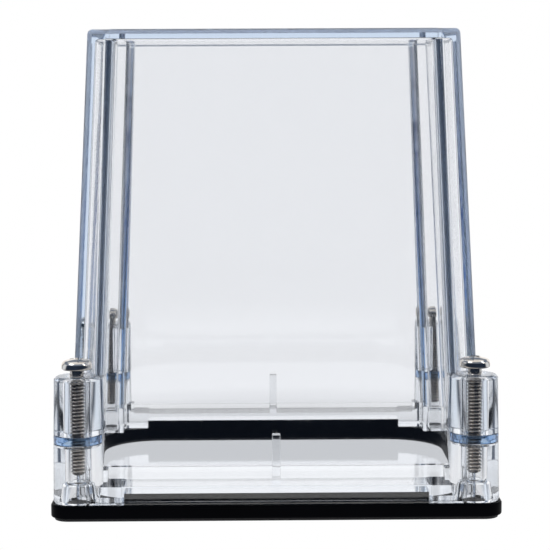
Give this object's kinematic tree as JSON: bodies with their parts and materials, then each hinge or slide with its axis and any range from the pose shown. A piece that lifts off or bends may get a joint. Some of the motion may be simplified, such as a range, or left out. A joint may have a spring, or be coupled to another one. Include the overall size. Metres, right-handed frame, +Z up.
{
  "type": "clear protective cover",
  "caption": "Tall clear tapered cover with notched corners, screwed down at its corners through a clear spacer frame onto a black mounting base.",
  "frame": {"origin": "centre of the footprint, on the surface the base stands on", "axes": "+Z up through the cover's closed top, -Y the side seen in front, +X to that side's right"},
  "size_m": [0.1352, 0.1352, 0.146],
  "materials": {
    "clear_cover": "clear, polished",
    "clear_frame": "clear, polished",
    "base_plate": "satin black",
    "base_gasket": "matt black",
    "screw": "nickel plated",
    "washer": "natural nylon"
  },
  "bodies": {
    "base": {"spacer_frame": "clear_frame", "base_plate": "base_plate", "base_gasket": "base_gasket"},
    "cover": {"cover": "clear_cover"},
    "washer_front_left": {"retaining_washer_front_left": "washer"},
    "screw_front_left": {"screw_front_left": "screw"},
    "washer_front_right": {"retaining_washer_front_right": "washer"},
    "screw_front_right": {"screw_front_right": "screw"},
    "washer_rear_left": {"retaining_washer_rear_left": "washer"},
    "screw_rear_left": {"screw_rear_left": "screw"},
    "washer_rear_right": {"retaining_washer_rear_right": "washer"},
    "screw_rear_right": {"screw_rear_right": "screw"}
  },
  "joints": [
    {"name": "cover_lift", "type": "slide", "parent": "base", "child": "cover", "axis": [0, 0, 1], "range_m": [0, 0.06]},
    {"name": "screw_travel_front_left", "type": "slide", "parent": "cover", "child": "washer_front_left", "axis": [0, 0, 1], "range_m": [-0.00188, 0]},
    {"name": "screw_turn_front_left", "type": "hinge", "parent": "washer_front_left", "child": "screw_front_left", "pos_m": [-0.05955, -0.05955, 0.0449], "axis": [0, 0, 1], "range_deg": [-640, 0]},
    {"name": "screw_travel_front_right", "type": "slide", "parent": "cover", "child": "washer_front_right", "axis": [0, 0, 1], "range_m": [-0.00188, 0]},
    {"name": "screw_turn_front_right", "type": "hinge", "parent": "washer_front_right", "child": "screw_front_right", "pos_m": [0.05955, -0.05955, 0.0449], "axis": [0, 0, 1], "range_deg": [-640, 0]},
    {"name": "screw_travel_rear_left", "type": "slide", "parent": "cover", "child": "washer_rear_left", "axis": [0, 0, 1], "range_m": [-0.00188, 0]},
    {"name": "screw_turn_rear_left", "type": "hinge", "parent": "washer_rear_left", "child": "screw_rear_left", "pos_m": [-0.05955, 0.05955, 0.0449], "axis": [0, 0, 1], "range_deg": [-640, 0]},
    {"name": "screw_travel_rear_right", "type": "slide", "parent": "cover", "child": "washer_rear_right", "axis": [0, 0, 1], "range_m": [-0.00188, 0]},
    {"name": "screw_turn_rear_right", "type": "hinge", "parent": "washer_rear_right", "child": "screw_rear_right", "pos_m": [0.05955, 0.05955, 0.0449], "axis": [0, 0, 1], "range_deg": [-640, 0]}
  ],
  "couplings": [
    {"joint": "screw_turn_front_left", "follows": "screw_travel_front_left", "rad_per_m": 5936.8},
    {"joint": "screw_turn_front_right", "follows": "screw_travel_front_right", "rad_per_m": 5936.8},
    {"joint": "screw_turn_rear_left", "follows": "screw_travel_rear_left", "rad_per_m": 5936.8},
    {"joint": "screw_turn_rear_right", "follows": "screw_travel_rear_right", "rad_per_m": 5936.8}
  ]
}
